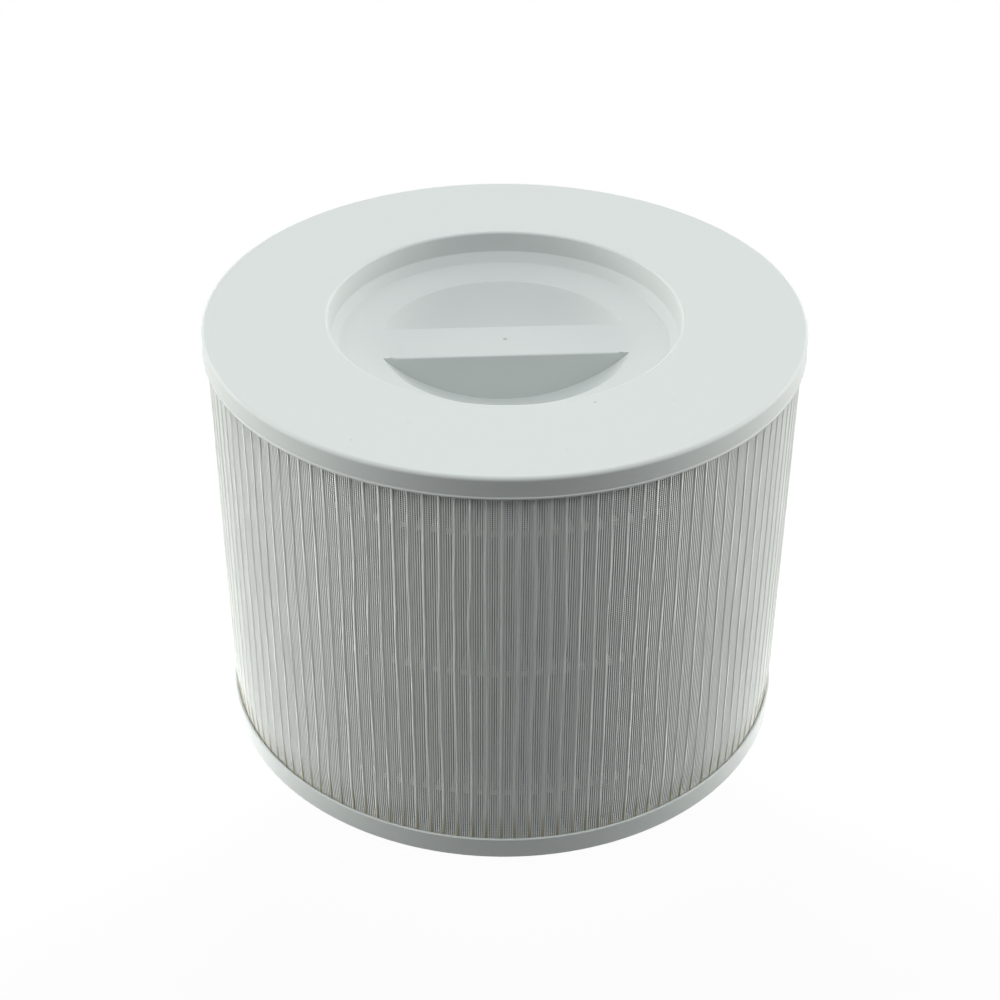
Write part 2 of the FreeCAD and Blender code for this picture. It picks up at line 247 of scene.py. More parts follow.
def mottle(tree, shader, base, size_mm, spread, bump_mm):
    """Vary the colour by spread and the surface by bump_mm, in a grain of size_mm."""
    place = add_node(tree, "ShaderNodeTexCoord")
    grain = add_node(
        tree, "ShaderNodeTexNoise", [("Vector", place.outputs["Object"])],
        inputs={"Scale": per_metre(size_mm), "Detail": 3.0, "Roughness": 0.6},
    )
    ramp = add_node(
        tree, "ShaderNodeMix", [("Factor", grain.outputs["Fac"])], data_type="RGBA",
    )
    ramp.inputs[6].default_value = shaded(base, 1 - spread)
    ramp.inputs[7].default_value = shaded(base, 1 + spread)
    tree.links.new(ramp.outputs[2], shader.inputs["Base Color"])
    bump = add_node(
        tree, "ShaderNodeBump", [("Height", grain.outputs["Fac"])],
        inputs={"Strength": 1.0, "Distance": bump_mm * MM},
    )
    tree.links.new(bump.outputs["Normal"], shader.inputs["Normal"])
    return ramp


# Materials


# Marks in the top cap's face: x, y, z, radius and how much of the colour is left in the middle.
MARKS_MM = (
    (0.2, 0.9, 122.2, 0.8, 0.6),
    (20.5, -50.0, 131.6, 0.5, 0.72),
    (41.0, -50.1, 131.6, 0.4, 0.88),
    (-43.1, -65.1, 131.6, 0.5, 0.86),
    (11.1, -72.7, 131.6, 0.4, 0.88),
    (-28.5, -57.8, 131.6, 0.4, 0.90),
)


def add_marks(tree, colour):
    """Darken the colour in the moulding's gate mark, the first of the marks, and in the specks of dirt."""
    place = add_node(tree, "ShaderNodeTexCoord")
    for x, y, z, size, shade in MARKS_MM:
        away = add_node(tree, "ShaderNodeVectorMath", [(0, place.outputs["Object"])], operation="DISTANCE")
        away.inputs[1].default_value = (x * MM, y * MM, z * MM)
        share = smooth_range(tree, away.outputs["Value"], 0.5 * size * MM, size * MM, 1.0, 0.0)
        mark = add_node(
            tree, "ShaderNodeMix", [("Factor", share), (6, colour)],
            data_type="RGBA", blend_type="MULTIPLY",
        )
        mark.inputs[7].default_value = (shade, shade, shade, 1)
        colour = mark.outputs[2]
    return colour


def cap_plastic(colours):
    """White ABS, moulded in a finely blasted mould: an even satin with a grain just above sight."""
    base = tuple(colours.cap)
    material, tree, shader = new_material("Moulded white ABS", base, 0.46, ior=1.54)
    grain = mottle(tree, shader, base, size_mm=0.45, spread=0.012, bump_mm=0.004)
    tree.links.new(add_marks(tree, grain.outputs[2]), shader.inputs["Base Color"])
    return material


def net_thread(colours):
    """Drawn polyester thread, a smooth white with a soft shine."""
    base = tuple(colours.net)
    material, tree, shader = new_material("Woven polyester thread", base, 0.5, ior=1.57)
    mottle(tree, shader, base, size_mm=1.5, spread=0.03, bump_mm=0.002)
    shader.inputs["Sheen Weight"].default_value = 0.8
    shader.inputs["Sheen Roughness"].default_value = 0.4
    return material


# How far into a slot the paper's colour changes, as shares of SHADE_DEPTH: painted shade, from white at the
# outer folds to near black deep in the slots.
WHITE_STOP = 0.08
SIDE_STOP = 0.21
DEEP_STOP = 0.34
# The heights between which the paper's darker, browner foot fades out, and its share at the bottom.
FOOT_TINT_LOW = 0.007
FOOT_TINT_HIGH = 0.022
FOOT_TINT_SHARE = 0.85


def filter_paper(colours):
    """Folded glass and cellulose paper: matt and fibrous, backed with carbon, darker and browner at its
    foot.

    Its colour is white at the outer folds and falls to black down the slots: painted shade for the depth of
    the slots.
    """
    base = tuple(colours.paper)
    material, tree, shader = new_material("Pleated filter paper", base, 0.95, specular=0.2)
    fibres = mottle(tree, shader, base, size_mm=0.35, spread=0.05, bump_mm=0.02)
    depth = add_node(tree, "ShaderNodeAttribute", attribute_name="fold_depth")
    # Painted shade: the colour falls from white to near black with the depth into the slots.
    shade = add_node(tree, "ShaderNodeValToRGB", [("Fac", depth.outputs["Fac"])])
    stops = shade.color_ramp.elements
    stops[0].color = (1, 1, 1, 1)
    stops[1].position = DEEP_STOP
    stops[1].color = ratio(colours.slot_deep_shade, base)
    stops.new(WHITE_STOP).color = (1, 1, 1, 1)
    stops.new(SIDE_STOP).color = ratio(colours.slot_side_shade, base)
    darker = add_node(
        tree, "ShaderNodeMix", [(6, fibres.outputs[2]), (7, shade.outputs["Color"])],
        data_type="RGBA", blend_type="MULTIPLY", inputs={"Factor": 1.0},
    )
    place = add_node(tree, "ShaderNodeTexCoord")
    parts = add_node(tree, "ShaderNodeSeparateXYZ", [("Vector", place.outputs["Object"])])
    # The paper's colour is made darker and browner towards its foot.
    foot = smooth_range(tree, parts.outputs["Z"], FOOT_TINT_LOW, FOOT_TINT_HIGH, FOOT_TINT_SHARE, 0.0)
    browner_foot = add_node(tree, "ShaderNodeMix", [("Factor", foot)], data_type="RGBA")
    browner_foot.inputs[6].default_value = (1, 1, 1, 1)
    browner_foot.inputs[7].default_value = ratio(colours.foot_tint, base)
    tinted = add_node(
        tree, "ShaderNodeMix", [(6, darker.outputs[2]), (7, browner_foot.outputs[2])],
        data_type="RGBA", blend_type="MULTIPLY", inputs={"Factor": 1.0},
    )
    tree.links.new(tinted.outputs[2], shader.inputs["Base Color"])
    return material


def hot_melt(name, base, roughness):
    """Hot-melt glue, run on as a liquid: smooth, slightly waxy and a little uneven in colour."""
    material, tree, shader = new_material(name, base, roughness, ior=1.49)
    mottle(tree, shader, base, size_mm=2.0, spread=0.06, bump_mm=0.05)
    return material


def carbon_felt(colours):
    """Needled felt loaded with carbon dust: a dull black of tangled fibres."""
    base = tuple(colours.felt)
    material, tree, shader = new_material("Carbon felt", base, 0.97, specular=0.15)
    mottle(tree, shader, base, size_mm=0.7, spread=0.45, bump_mm=0.25)
    return material


def seal_foam(colours):
    """Closed-cell EVA foam, cut from sheet: matt grey with cut cells."""
    base = tuple(colours.foam)
    material, tree, shader = new_material("EVA seal foam", base, 0.85, specular=0.3)
    mottle(tree, shader, base, size_mm=0.5, spread=0.08, bump_mm=0.06)
    return material


# The top cap

DISH_DEPTH_MM = 15.0
FLOOR_DEPTH_MM = 9.35
EDGE_DEPTH_MM = 8.8
CAP_WALL_MM = 2.0
SKIRT_WALL_MM = 1.1
LIP_HEIGHT_MM = 0.5
LIP_DEPTH_MM = 0.18
WEB_EDGE_MM = 1.3
DISH_POINTS = 22
CAP_STEPS = 256


def dish_curve(rim_mm, rim_height_mm, bottom_mm, count):
    """Points of the dish's round from its rim to the axis, both ends included."""
    drop = rim_height_mm - bottom_mm
    radius = (rim_mm ** 2 + drop ** 2) / (2 * drop)
    half = math.asin(rim_mm / radius)
    centre = bottom_mm + radius
    angles = [half * (1 - i / count) for i in range(count + 1)]
    return [(radius * math.sin(a), centre - radius * math.cos(a), 0) for a in angles]


def top_section(sizes):
    """The top cap's section, from the dish's middle out over the skirt and back underneath."""
    top, outer, mouth = (v / MM for v in (sizes.top_height, sizes.cap_radius, sizes.recess_radius))
    rim = sizes.dish_radius / MM
    floor, edge = top - FLOOR_DEPTH_MM, top - EDGE_DEPTH_MM
    bottom = floor - DISH_DEPTH_MM
    skirt = top - sizes.skirt_depth / MM
    upper = dish_curve(rim, floor, bottom, DISH_POINTS)[::-1]
    under = dish_curve(rim + 0.83, floor - CAP_WALL_MM, bottom - CAP_WALL_MM, DISH_POINTS)
    outside = [
        (mouth - 3.2, edge, 0.25), (mouth - 1.1, top - 6.0, 0.2), (mouth - 0.2, top, 0.7),
        (outer, top, 1.1), (outer, skirt + LIP_HEIGHT_MM + 0.25, 0.1),
        (outer + LIP_DEPTH_MM, skirt + LIP_HEIGHT_MM, 0.12), (outer + LIP_DEPTH_MM, skirt, 0.12),
        (outer - SKIRT_WALL_MM, skirt, 0.15), (outer - SKIRT_WALL_MM, top - CAP_WALL_MM, 0.4),
        (mouth + CAP_WALL_MM, top - CAP_WALL_MM, 0.4),
        (mouth + 1.0, floor + 0.8, 0.4), (mouth - 2.0, floor - CAP_WALL_MM, 0.4),
    ]
    return upper + outside + under


def flat_reach(vert):
    """Distance of a point from the part's axis."""
    return math.hypot(vert[0], vert[1])


def cut_strip(bm, half, reach, side):
    """Cut away the dish's skin between the planes y = -half and y = half.

    side is 1 for the upper skin and -1 for the under skin.
    """
    def skin():
        return [
            f for f in bm.faces
            if f.normal.z * side > 0.2 and flat_reach(f.calc_center_median()) < reach
        ]

    for edge in (-half, half):
        faces = skin()
        geom = faces + list({e for f in faces for e in f.edges}) + list({v for f in faces for v in f.verts})
        bmesh.ops.bisect_plane(bm, geom=geom, dist=1e-8, plane_co=(0, edge, 0), plane_no=(0, 1, 0))
    strip = [f for f in skin() if abs(f.calc_center_median().y) < half]
    bmesh.ops.delete(bm, geom=strip, context="FACES")


def raise_web(bm, half, reach, level, side, rounding):
    """Close the cut strip with two upright walls and a level face."""
    cut_strip(bm, half, reach, side)
    sides = [
        e for e in bm.edges
        if e.is_boundary and all(abs(abs(v.co.y) - half) < 1e-6 for v in e.verts)
    ]
    grown = bmesh.ops.extrude_edge_only(bm, edges=sides)["geom"]
    for vert in grown:
        if isinstance(vert, bmesh.types.BMVert):
            vert.co.z = level
    bmesh.ops.remove_doubles(bm, verts=bm.verts[:], dist=2e-6)
    rim = [e for e in bm.edges if e.is_boundary]
    bmesh.ops.contextual_create(bm, geom=rim)
    bmesh.ops.recalc_face_normals(bm, faces=bm.faces[:])
    if rounding:
        crest = [
            e for e in bm.edges
            if all(abs(abs(v.co.y) - half) < 1e-6 and abs(v.co.z - level) < 1e-6 for v in e.verts)
            and all(flat_reach(v.co) < reach - 2 * rounding for v in e.verts)
        ]
        bmesh.ops.bevel(
            bm, geom=crest, offset=rounding, offset_type="OFFSET", affect="EDGES", segments=5,
            profile=0.5, material=-1, clamp_overlap=True,
        )


def build_top_cap(sizes, material):
    """The top cap as one moulding: skirt, flange, recess, dish and the hollow grip web."""
    bm = bmesh.new()
    rounded_section(bm, top_section(sizes), closed=False)
    spin_round(bm, CAP_STEPS)
    floor = sizes.top_height - FLOOR_DEPTH_MM * MM
    half = sizes.web_width / 2
    raise_web(bm, half, sizes.dish_radius + 0.01 * MM, floor, 1, WEB_EDGE_MM * MM)
    under = floor - CAP_WALL_MM * MM
    raise_web(bm, half - CAP_WALL_MM * MM, sizes.dish_radius + 0.84 * MM, under, -1, 0)
    piece = new_piece("top_cap_moulding", bm, material, ["top_cap"])
    level_flats(piece)
    return piece


# The bottom cap

RIM_TOP_MM = 8.8
RIM_WALL_MM = 0.85
COLLAR_TOP_MM = 12.0
COLLAR_WALL_MM = 2.2


def build_bottom_cap(sizes, material):
    """The bottom cap: rim with its rounded lip, ring floor and the collar round the outlet."""
    outer, bore = sizes.rim_radius / MM, sizes.outlet_radius / MM
    inside, collar = outer - RIM_WALL_MM, bore + COLLAR_WALL_MM
    low = BOTTOM_BOX[0][2] / MM
    floor = low + CAP_WALL_MM
    section = [
        (outer, low, 0.5), (outer, RIM_TOP_MM, 0.35), (inside, RIM_TOP_MM, 0.35),
        (inside, floor, 0.4), (collar, floor, 0.4), (collar, COLLAR_TOP_MM, 0.5),
        (bore, COLLAR_TOP_MM, 0.5), (bore, low + 0.8, 0.1), (bore + 0.8, low, 0.1),
    ]
    bm = bmesh.new()
    rounded_section(bm, section, closed=True)
    spin_round(bm, CAP_STEPS)
    piece = new_piece("bottom_cap_moulding", bm, material, ["bottom_cap"])
    level_flats(piece)
    return piece


# The pleated pack

FIRST_TIP = math.radians(88.885)
PAPER_SHEET = 0.0004
SLOT_FLOOR = 0.0578
PLEAT_ROWS = 22
SHADE_DEPTH = 0.012
FOLD_PROUD = 0.00003
NET_RIM_TOP = 0.0088
NET_EASED = 0.020
NET_DRAWN_IN = 0.00055
SEAT_SHARE = 0.45
DRIFT_SHARE = 1.6
OWN_SHARE = 0.9
HELD_REACH = 0.012
HELD_SHARE = 0.55
BEAD_HEIGHTS = sorted((low[2] + high[2]) / 2 for low, high in BEAD_BOXES.values())


def net_line(sizes, z):
    """Outer radius of the net at a height: full in the middle, drawn in where the rim holds it."""
    share = min(1, max(0, (z - NET_RIM_TOP) / (NET_EASED - NET_RIM_TOP)))
    share = share * share * (3 - 2 * share)
    return sizes.net_radius - NET_DRAWN_IN * (1 - share)


def sway_at(sizes, index, z):
    """Sideways shift of a pleat's outer fold: it wanders between the beads and is held at them."""
    seat = SEAT_SHARE * sizes.sway * noise.noise((index * 3.7, 11.3, 0.0))
    drift = noise.noise((index * 0.21, z * 18, 4.0)) * DRIFT_SHARE
    own = noise.noise((index * 5.1, z * 55, 8.0)) * OWN_SHARE
    away = min(abs(z - bead) for bead in BEAD_HEIGHTS)
    free = HELD_SHARE + (1 - HELD_SHARE) * min(1, away / HELD_REACH)
    return seat + sizes.sway * (drift + own * free)


def pleat_index(sizes, angle):
    """Number of the pleat whose middle is nearest to the angle."""
    return round((angle - FIRST_TIP) / (FULL_TURN / sizes.pleats)) % sizes.pleats


def shift_pleats(bm, sizes, root, tip):
    """Move each point round the axis by its pleat's sway, more at the outer fold than the inner."""
    for vert in bm.verts:
        reach = flat_reach(vert.co)
        angle = math.atan2(vert.co.y, vert.co.x)
        share = min(1, max(0, (reach - root) / (tip - root)))
        moved = sway_at(sizes, pleat_index(sizes, angle), vert.co.z) * share / reach
        drawn = reach + (net_line(sizes, vert.co.z) - sizes.net_radius) * share
        vert.co.x = drawn * math.cos(angle + moved)
        vert.co.y = drawn * math.sin(angle + moved)


def pleat_outline(sizes, tip, root):
    """One pleat's section from inner fold to inner fold, as points (out, sideways)."""
    half_step = math.pi / sizes.pleats
    half, wide = sizes.fold_width / 2, sizes.shoulder / 2
    fold = [
        (tip - half + half * math.sin(a), half * math.cos(a))
        for a in (math.radians(v) for v in (0, 35, 65, 90, 115, 145, 180))
    ]
    inner = root * math.sin(half_step)
    left = [
        (root * math.cos(half_step), inner), (root + 0.0006, inner * 0.78),
        (tip - 0.0028, wide), (tip - 0.0012, wide * 0.75),
    ]
    right = [(out, -across) for out, across in reversed(left)]
    return left + fold + right


def build_pleats(sizes, material):
    """The filter paper: one sheet folded into upright pleats, all the way round."""
    low, high = MEDIA_BOX[0][2], MEDIA_BOX[1][2]
    tip = sizes.net_radius + FOLD_PROUD
    bm = bmesh.new()
    turn = Matrix.Rotation(FIRST_TIP, 4, "Z")
    outline = [turn @ Vector((out, across, low)) for out, across in pleat_outline(sizes, tip, SLOT_FLOOR)]
    _, edges = chain(bm, outline)
    for _ in range(PLEAT_ROWS):
        grown = bmesh.ops.extrude_edge_only(bm, edges=edges)["geom"]
        verts = [g for g in grown if isinstance(g, bmesh.types.BMVert)]
        edges = [g for g in grown if isinstance(g, bmesh.types.BMEdge)]
        bmesh.ops.translate(bm, vec=(0, 0, (high - low) / PLEAT_ROWS), verts=verts)
    copies_round(bm, sizes.pleats)
    bmesh.ops.recalc_face_normals(bm, faces=bm.faces[:])
    shift_pleats(bm, sizes, SLOT_FLOOR, tip)
    bmesh.ops.remove_doubles(bm, verts=bm.verts[:], dist=2e-5)
    bmesh.ops.recalc_face_normals(bm, faces=bm.faces[:])
    depth = bm.verts.layers.float.new("fold_depth")
    for vert in bm.verts:
        vert[depth] = min(1, max(0, (tip - flat_reach(vert.co)) / SHADE_DEPTH))
    piece = new_piece("pleated_paper", bm, material, ["pleated_media"], 60)
    sheet = piece.modifiers.new("Sheet", "SOLIDIFY")
    sheet.thickness = PAPER_SHEET
    sheet.offset = 0
    return piece


# The glue's outline in a slot, as (share of the slot's half width, height in mm).
BEAD_OUTLINE = (
    (-1, 2.2), (-0.5, 1.4), (0, 1.1), (0.5, 1.4), (1, 2.2),
    (1, -2.0), (0.72, -1.0), (0.35, -0.55), (0, -0.4), (-0.35, -0.55), (-0.72, -1.0), (-1, -2.0),
)
BEAD_SET_BACK = 0.0026
BEAD_INNER_HALF = 0.0006
BEAD_CLEAR = 0.0006


def build_bead(sizes, name, material):
    """One round of separator glue: a web in every slot, from the outer folds to the inner ones."""
    low, high = BEAD_BOXES[name]
    middle = (low[2] + high[2]) / 2
    front, back = sizes.net_radius - BEAD_SET_BACK, SLOT_FLOOR + BEAD_CLEAR
    half_step = math.pi / sizes.pleats
    wide = front * math.sin(half_step) - sizes.fold_width / 2
    outline = [(front, across * wide, middle + up * MM) for across, up in BEAD_OUTLINE]
    bm = bmesh.new()
    verts, _ = chain(bm, outline, closed=True)
    face = bm.faces.new(verts)
    grown = bmesh.ops.extrude_face_region(bm, geom=[face])["geom"]
    inner = [g for g in grown if isinstance(g, bmesh.types.BMVert)]
    bmesh.ops.translate(bm, vec=(back - front, 0, 0), verts=inner)
    bmesh.ops.scale(bm, vec=(1, BEAD_INNER_HALF / wide, 1), verts=inner)
    bmesh.ops.rotate(
        bm, cent=(0, 0, 0), matrix=Matrix.Rotation(FIRST_TIP + half_step, 3, "Z"), verts=bm.verts[:]
    )
    copies_round(bm, sizes.pleats)
    bmesh.ops.recalc_face_normals(bm, faces=bm.faces[:])
    shift_pleats(bm, sizes, SLOT_FLOOR, front)
    return new_piece(name.replace("bead", "glue"), bm, material, [name], 50)


POTTING_TOP = 0.0078
POTTING_STEPS = 192


def build_potting(sizes, material):
    """The bed of glue in the bottom cap that the pleats stand in."""
    inner, outer = SLOT_FLOOR - 0.0008, sizes.rim_radius - 0.0015
    low = BOTTOM_BOX[0][2] + CAP_WALL_MM * MM + 0.0001
    section = [
        (outer / MM, low / MM, 0), (outer / MM, POTTING_TOP / MM, 0.5),
        (inner / MM, POTTING_TOP / MM, 0.5), (inner / MM, low / MM, 0),
    ]
    bm = bmesh.new()
    rounded_section(bm, section, closed=True)
    spin_round(bm, POTTING_STEPS)
    return new_piece("potting_bed", bm, material)


# The net

WEFT_STEPS = 130
WEFT_SHARE = 0.7
TAPER_HEIGHTS = (NET_RIM_TOP, 0.0116, 0.0144, 0.0172, NET_EASED)


def upright_section(size):
    """An upright thread's section, as (out, across) corners: pressed flat, its outer edges taken off."""
    return [(-0.05 * size, size / 2), (-0.05 * size, -size / 2), (0, -0.45 * size), (0, 0.45 * size)]


def level_section(size):
    """A level thread's section: pressed flat outside, with a ridge behind."""
    return [(0, size / 2), (0, -size / 2), (-0.3 * size, 0)]


def build_warp(bm, sizes):
    """The upright threads, each drawn in at its foot."""
    low, high = NET_BOX[0][2], NET_BOX[1][2]
    corners = upright_section(sizes.thread)
    verts, _ = chain(bm, [(sizes.net_radius + out, across, low) for out, across in corners], closed=True)
    face = bm.faces.new(verts)
    bottom = low
    for height in (*TAPER_HEIGHTS, high):
        grown = bmesh.ops.extrude_face_region(bm, geom=[face, *face.edges])["geom"]
        verts = [g for g in grown if isinstance(g, bmesh.types.BMVert)]
        face = next(g for g in grown if isinstance(g, bmesh.types.BMFace))
        bmesh.ops.translate(bm, vec=(0, 0, height - bottom), verts=verts)
        bottom = height
    count = round(FULL_TURN * sizes.net_radius / sizes.mesh_pitch)
    copies_round(bm, count)


def build_weft(bm, sizes):
    """The level threads, one ring above another."""
    low, high = NET_BOX[0][2], NET_BOX[1][2]
    count = int((high - low) / sizes.mesh_pitch)
    centre = sizes.net_radius - sizes.thread * 0.3
    middle = low + sizes.mesh_pitch / 2
    corners = level_section(sizes.thread * WEFT_SHARE)
    chain(bm, [(centre + out, 0, middle + up) for out, up in corners], closed=True)
    spin_round(bm, WEFT_STEPS)
    bmesh.ops.spin(
        bm, geom=bm.verts[:] + bm.edges[:] + bm.faces[:], cent=(0, 0, 0), axis=(0, 0, 1),
        dvec=(0, 0, sizes.mesh_pitch), angle=0, steps=count - 1, use_duplicate=True,
    )


def draw_in(bm, sizes):
    """Pull the net's foot in to where the rim holds it."""
    for vert in bm.verts:
        scale = 1 + (net_line(sizes, vert.co.z) - sizes.net_radius) / flat_reach(vert.co)
        vert.co.x *= scale
        vert.co.y *= scale


def build_net(sizes, material):
    """The net: upright and level threads as one woven tube, stretched round the pleats."""
    bm = bmesh.new()
    build_warp(bm, sizes)
    other = bmesh.new()
    build_weft(other, sizes)
    rings = bpy.data.meshes.new("rings")
    other.to_mesh(rings)
    other.free()
    bm.from_mesh(rings)
    bpy.data.meshes.remove(rings)
    bmesh.ops.recalc_face_normals(bm, faces=bm.faces[:])
    draw_in(bm, sizes)
    piece = new_piece("net_threads", bm, material, ["prefilter_net"], 60)
    return piece


# Operators


class BuildCaps(bpy.types.Operator):
    """Build the two moulded caps"""

    bl_idname = "filter.build_caps"
    bl_label = "Build caps"

    def execute(self, context):
        scene = context.scene
        material = cap_plastic(scene.filter_colours)
        build_top_cap(scene.filter_sizes, material)
        build_bottom_cap(scene.filter_sizes, material)
        return {"FINISHED"}


class BuildPack(bpy.types.Operator):
    """Build the pleated paper with its separator glue and the bed of glue that it stands in"""

    bl_idname = "filter.build_pack"
    bl_label = "Build pleated pack"

    def execute(self, context):
        scene = context.scene
        sizes, colours = scene.filter_sizes, scene.filter_colours
        build_pleats(sizes, filter_paper(colours))
        glue = hot_melt("Separator glue", tuple(colours.glue), 0.42)
        for name in BEAD_BOXES:
            build_bead(sizes, name, glue)
        build_potting(sizes, hot_melt("Potting glue", tuple(colours.potting), 0.5))
        return {"FINISHED"}


class BuildNet(bpy.types.Operator):
    """Build the net round the pleats, thread by thread"""

    bl_idname = "filter.build_net"
    bl_label = "Build net"

    def execute(self, context):
        scene = context.scene
        build_net(scene.filter_sizes, net_thread(scene.filter_colours))
        return {"FINISHED"}


class FinishFrameParts(bpy.types.Operator):
    """Give the parts that keep their CAD shape their real finish"""

    bl_idname = "filter.finish_frame_parts"
    bl_label = "Finish CAD parts"

    def execute(self, context):
        colours = context.scene.filter_colours
        finishes = {
            "carbon_sleeve": carbon_felt(colours),
            "seal_ring": seal_foam(colours),
            "pack_seam": hot_melt("Seam glue", tuple(colours.glue), 0.45),
        }
        for name, material in finishes.items():
            for slot in bpy.data.objects[name].material_slots:
                slot.material = material
        return {"FINISHED"}


CAMERA_PLACE = (-0.03201, -0.48344, 0.39730)
CAMERA_TURN_DEGREES = (55.7424, -0.2822, -3.4731)
CAMERA_LENS_MM = 70.217
CAMERA_SENSOR_MM = 36.0


def place_camera(scene):
    """A camera with the photograph's view."""
    data = bpy.data.cameras.new("Camera")
    data.lens = CAMERA_LENS_MM
    data.sensor_width = CAMERA_SENSOR_MM
    data.clip_start = 0.01
    camera = bpy.data.objects.new("Camera", data)
    camera.location = CAMERA_PLACE
    camera.rotation_euler = Euler([math.radians(a) for a in CAMERA_TURN_DEGREES])
    scene.collection.objects.link(camera)
    scene.camera = camera


# Strengths of the studio's screens.
FRONT_LIGHT = 0.0
SIDE_LIGHT = 13.5
BACK_LIGHT = 3.2
CEILING_LIGHT = 1.25
TABLE_LIGHT = 1.2
SCREEN_TINT = (1.0, 1.0, 0.95, 1)
CEILING_TINT = (0.955, 0.985, 0.985, 1)
# Bearings, from -1 at the front to 1 at the back, and heights, from 0 level to 1 overhead,
# between which one light passes into the next.
SIDE_BEARINGS = (-0.26, 0.2)
BACK_BEARINGS = (0.34, 0.77)
SCREEN_HEIGHTS = (0.1, 0.45)
CEILING_HEIGHTS = (0.45, 0.85)
# The table: bearings between which it gets pale, and distances from the part's axis.
TABLE_BEARINGS = (-0.9, -0.2)
TABLE_FOOT = (0.09, 0.13)
TABLE_FOOT_SHARE = 0.3
TABLE_GLOW = (0.12, 0.32)
TABLE_DARK = "202120"
TABLE_PALE = "F0F1F0"
TABLE_WHITE_SHARE = 0.97
TABLE_SIZE = 3.0
LAMP_PLACE = (0, -0.28, 0.88)
LAMP_AIM = (0, 0, 0.1)
LAMP_SIZE = 0.6
LAMP_POWER = 1.6


def level_bearing(tree, parts):
    """How far a direction points to the back, from -1 at the front to 1, whatever its height."""
    level = add_node(tree, "ShaderNodeCombineXYZ", [("X", parts.outputs["X"]), ("Y", parts.outputs["Y"])])
    unit = add_node(tree, "ShaderNodeVectorMath", [(0, level.outputs[0])], operation="NORMALIZE")
    split = add_node(tree, "ShaderNodeSeparateXYZ", [("Vector", unit.outputs[0])])
    return split.outputs["Y"]


def seen_rays(tree):
    """1 for a ray that shows the background: seen by the camera, mirrored, or through glass."""
    path = add_node(tree, "ShaderNodeLightPath")
    seen = path.outputs["Is Camera Ray"]
    for kind in ("Is Glossy Ray", "Is Transmission Ray"):
        either = add_node(tree, "ShaderNodeMath", [(0, seen), (1, path.outputs[kind])], operation="MAXIMUM")
        seen = either.outputs[0]
    return seen


def light_world(scene):
    """A studio of bright screens at the sides and back, a soft ceiling and a dark front."""
    world = bpy.data.worlds.new("Studio")
    world.use_nodes = True
    tree = world.node_tree
    tree.nodes.clear()
    place = add_node(tree, "ShaderNodeTexCoord")
    parts = add_node(tree, "ShaderNodeSeparateXYZ", [("Vector", place.outputs["Generated"])])
    bearing = level_bearing(tree, parts)
    sides = smooth_range(tree, bearing, *SIDE_BEARINGS, FRONT_LIGHT, SIDE_LIGHT)
    back = smooth_range(tree, bearing, *BACK_BEARINGS, 1.0, BACK_LIGHT / SIDE_LIGHT)
    screens = add_node(tree, "ShaderNodeMath", [(0, sides), (1, back)], operation="MULTIPLY")
    low = smooth_range(tree, parts.outputs["Z"], *SCREEN_HEIGHTS, 1.0, 0.0)
    ceiling = smooth_range(tree, parts.outputs["Z"], *CEILING_HEIGHTS, 0.0, CEILING_LIGHT)
    strength = add_node(
        tree, "ShaderNodeMath", [(0, screens.outputs[0]), (1, low), (2, ceiling)],
        operation="MULTIPLY_ADD",
    )
    tint = add_node(tree, "ShaderNodeMix", [("Factor", low)], data_type="RGBA")
    tint.inputs[6].default_value = CEILING_TINT
    tint.inputs[7].default_value = SCREEN_TINT
    light = add_node(
        tree, "ShaderNodeBackground", [("Color", tint.outputs[2]), ("Strength", strength.outputs[0])],
    )
    white = add_node(tree, "ShaderNodeBackground", inputs={"Color": (1, 1, 1, 1), "Strength": 1.0})
    mix = add_node(
        tree, "ShaderNodeMixShader",
        [(0, seen_rays(tree)), (1, light.outputs[0]), (2, white.outputs[0])],
    )
    add_node(tree, "ShaderNodeOutputWorld", [("Surface", mix.outputs[0])])
    scene.world = world


def floor_material():
    """Paper on the studio table: pale, but dark at the front, and seen white by the camera.

    Near the part it glows, as a lit table does, except at the front. A little of its true shade
    is kept in what the camera sees, so that the part's shadow stays on it.
    """
    material = bpy.data.materials.new("Studio paper")
    material.use_nodes = True
    tree = material.node_tree
    tree.nodes.clear()
    place = add_node(tree, "ShaderNodeTexCoord")
    parts = add_node(tree, "ShaderNodeSeparateXYZ", [("Vector", place.outputs["Object"])])
    reach = add_node(tree, "ShaderNodeVectorMath", [(0, place.outputs["Object"])], operation="LENGTH")
    aside = smooth_range(tree, level_bearing(tree, parts), *TABLE_BEARINGS, 0.0, 1.0)
    beside = smooth_range(tree, reach.outputs["Value"], *TABLE_FOOT, TABLE_FOOT_SHARE, 0.0)
    pale = add_node(tree, "ShaderNodeMath", [(0, aside), (1, beside)], operation="MAXIMUM")
    tone = add_node(tree, "ShaderNodeMix", [("Factor", pale.outputs[0])], data_type="RGBA")
    tone.inputs[6].default_value = (*linear(TABLE_DARK), 1)
    tone.inputs[7].default_value = (*linear(TABLE_PALE), 1)
    paper = add_node(tree, "ShaderNodeBsdfDiffuse", [("Color", tone.outputs[2])])
    near = smooth_range(tree, reach.outputs["Value"], *TABLE_GLOW, TABLE_LIGHT, 0.0)
    glow = add_node(tree, "ShaderNodeMath", [(0, aside), (1, near)], operation="MULTIPLY")
    lit = add_node(tree, "ShaderNodeEmission", [("Strength", glow.outputs[0])])
    table = add_node(tree, "ShaderNodeAddShader", [(0, paper.outputs[0]), (1, lit.outputs[0])])
    white = add_node(tree, "ShaderNodeEmission", inputs={"Color": (1, 1, 1, 1), "Strength": 1.0})
    share = add_node(tree, "ShaderNodeMath", [(0, seen_rays(tree))], operation="MULTIPLY")
    share.inputs[1].default_value = TABLE_WHITE_SHARE
    mix = add_node(
        tree, "ShaderNodeMixShader",
        [(0, share.outputs[0]), (1, table.outputs[0]), (2, white.outputs[0])],
    )
    add_node(tree, "ShaderNodeOutputMaterial", [("Surface", mix.outputs[0])])
    return material


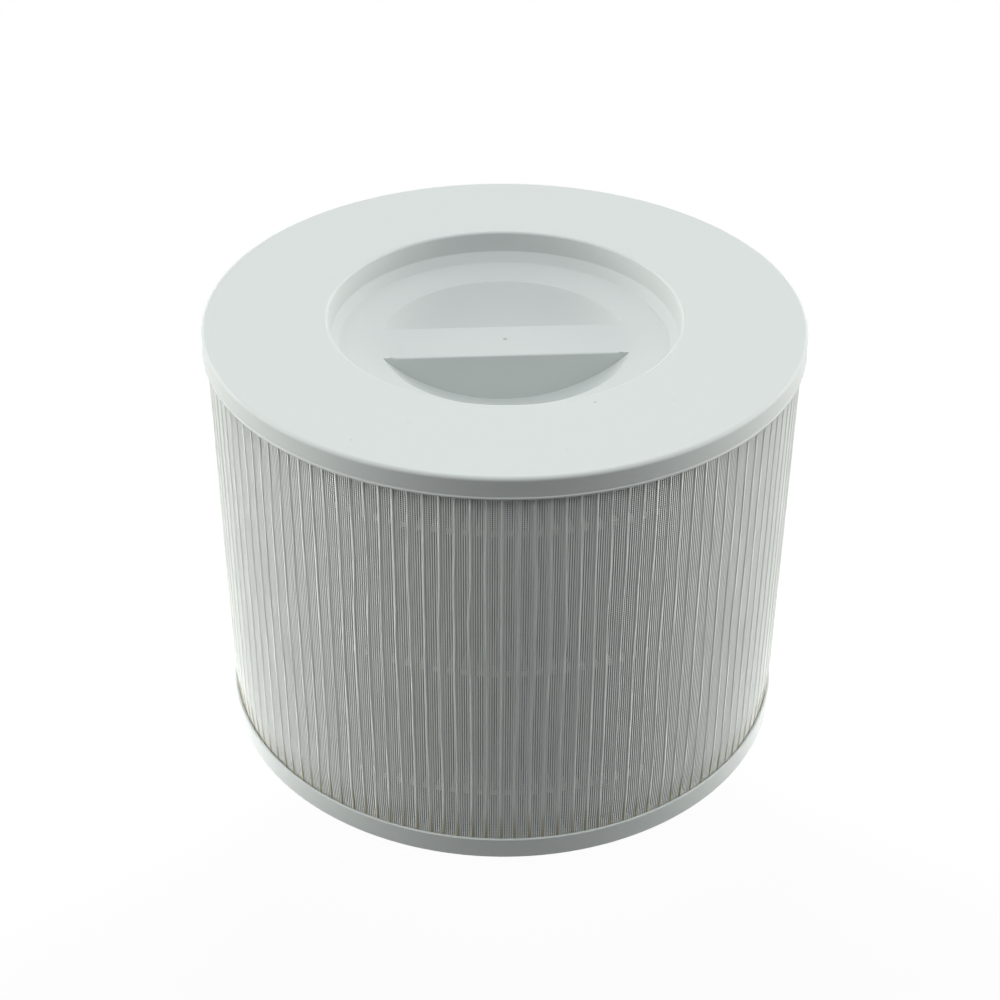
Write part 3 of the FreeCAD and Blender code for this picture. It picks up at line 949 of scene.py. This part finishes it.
def build_floor(scene):
    """The floor under the part."""
    bm = bmesh.new()
    bmesh.ops.create_grid(bm, x_segments=4, y_segments=4, size=TABLE_SIZE)
    mesh = bpy.data.meshes.new("Floor")
    bm.to_mesh(mesh)
    bm.free()
    mesh.materials.append(floor_material())
    floor = bpy.data.objects.new("Floor", mesh)
    scene.collection.objects.link(floor)


def area_lamp(scene, name, place, aim, size, power):
    """A soft box at a place, aimed at a point."""
    data = bpy.data.lights.new(name, "AREA")
    data.shape = "SQUARE"
    data.size = size
    data.energy = power
    data.color = CEILING_TINT[:3]
    lamp = bpy.data.objects.new(name, data)
    lamp.location = place
    lamp.rotation_euler = (Vector(aim) - Vector(place)).to_track_quat("-Z", "Y").to_euler()
    scene.collection.objects.link(lamp)


class BuildStage(bpy.types.Operator):
    """Build the floor, the lights and the camera"""

    bl_idname = "filter.build_stage"
    bl_label = "Build studio"

    def execute(self, context):
        scene = context.scene
        scene.view_settings.view_transform = "Standard"
        build_floor(scene)
        light_world(scene)
        area_lamp(scene, "Top soft box", LAMP_PLACE, LAMP_AIM, LAMP_SIZE, LAMP_POWER)
        place_camera(scene)
        return {"FINISHED"}


class FilterPanel(bpy.types.Panel):
    """The filter's sizes, colours and build buttons"""

    bl_idname = "VIEW3D_PT_air_filter"
    bl_label = "Air purifier filter"
    bl_space_type = "VIEW_3D"
    bl_region_type = "UI"
    bl_category = "Filter"

    def draw(self, context):
        scene = context.scene
        for group in (scene.filter_sizes, scene.filter_colours):
            box = self.layout.box()
            for field in group.bl_rna.properties:
                if field.identifier not in ("rna_type", "name"):
                    box.prop(group, field.identifier)
        for operator in OPERATORS:
            self.layout.operator(operator.bl_idname)


OPERATORS = (BuildCaps, BuildPack, BuildNet, FinishFrameParts, BuildStage)
CLASSES = (FilterSizes, FilterColours, *OPERATORS, FilterPanel)


def register():
    for cls in CLASSES:
        bpy.utils.register_class(cls)
    bpy.types.Scene.filter_sizes = bpy.props.PointerProperty(type=FilterSizes)
    bpy.types.Scene.filter_colours = bpy.props.PointerProperty(type=FilterColours)


def unregister():
    del bpy.types.Scene.filter_colours
    del bpy.types.Scene.filter_sizes
    for cls in reversed(CLASSES):
        bpy.utils.unregister_class(cls)


def main():
    """Build everything."""
    register()
    noise.seed_set(7)
    bpy.ops.filter.build_caps()
    bpy.ops.filter.build_pack()
    bpy.ops.filter.build_net()
    bpy.ops.filter.finish_frame_parts()
    bpy.ops.filter.build_stage()


if __name__ == "__main__":
    main()
